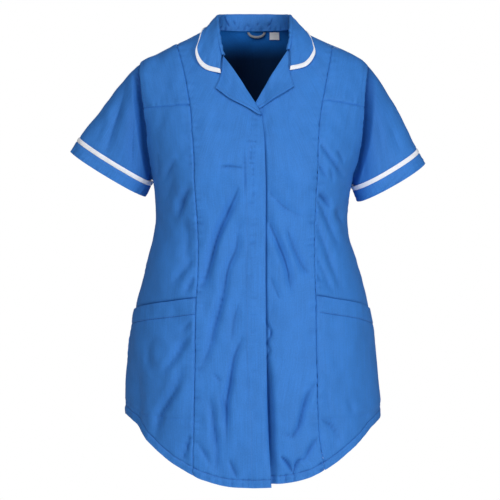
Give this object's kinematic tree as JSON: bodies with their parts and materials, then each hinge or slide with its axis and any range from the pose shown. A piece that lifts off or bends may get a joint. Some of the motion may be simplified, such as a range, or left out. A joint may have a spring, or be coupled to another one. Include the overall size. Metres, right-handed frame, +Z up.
{
  "type": "maternity tunic",
  "caption": "Short-sleeved maternity tunic with a notched collar, white binding, princess seams, lapped front, patch pockets and a curved hem",
  "frame": {"origin": "Midway between the two points where the shoulder seams meet the neck, which is where the wearer's shoulders hold the tunic", "axes": "+Z up along the body, front facing -Y, +X towards the wearer's left"},
  "size_m": [0.6033, 0.3351, 0.7953],
  "materials": {
    "blue_poplin": "matt plain weave in hospital blue",
    "white_binding": "matt white bound edge",
    "loop_tape": "grey woven tape",
    "label_cloth": "plain pale woven label"
  },
  "bodies": {
    "root": {"front_centre_right": "blue_poplin", "front_centre_left": "blue_poplin", "front_side_right": "blue_poplin", "front_side_left": "blue_poplin", "front_yoke_right": "blue_poplin", "front_yoke_left": "blue_poplin", "back": "blue_poplin", "sleeve_right": "blue_poplin", "sleeve_left": "blue_poplin", "sleeve_trim_right": "white_binding", "sleeve_trim_left": "white_binding", "cuff_right": "blue_poplin", "cuff_left": "blue_poplin", "collar": "blue_poplin", "collar_trim": "white_binding", "lapel_right": "blue_poplin", "lapel_left": "blue_poplin", "pocket_right": "blue_poplin", "pocket_left": "blue_poplin", "hanger_loop": "loop_tape", "care_label": "label_cloth"}
  },
  "joints": []
}
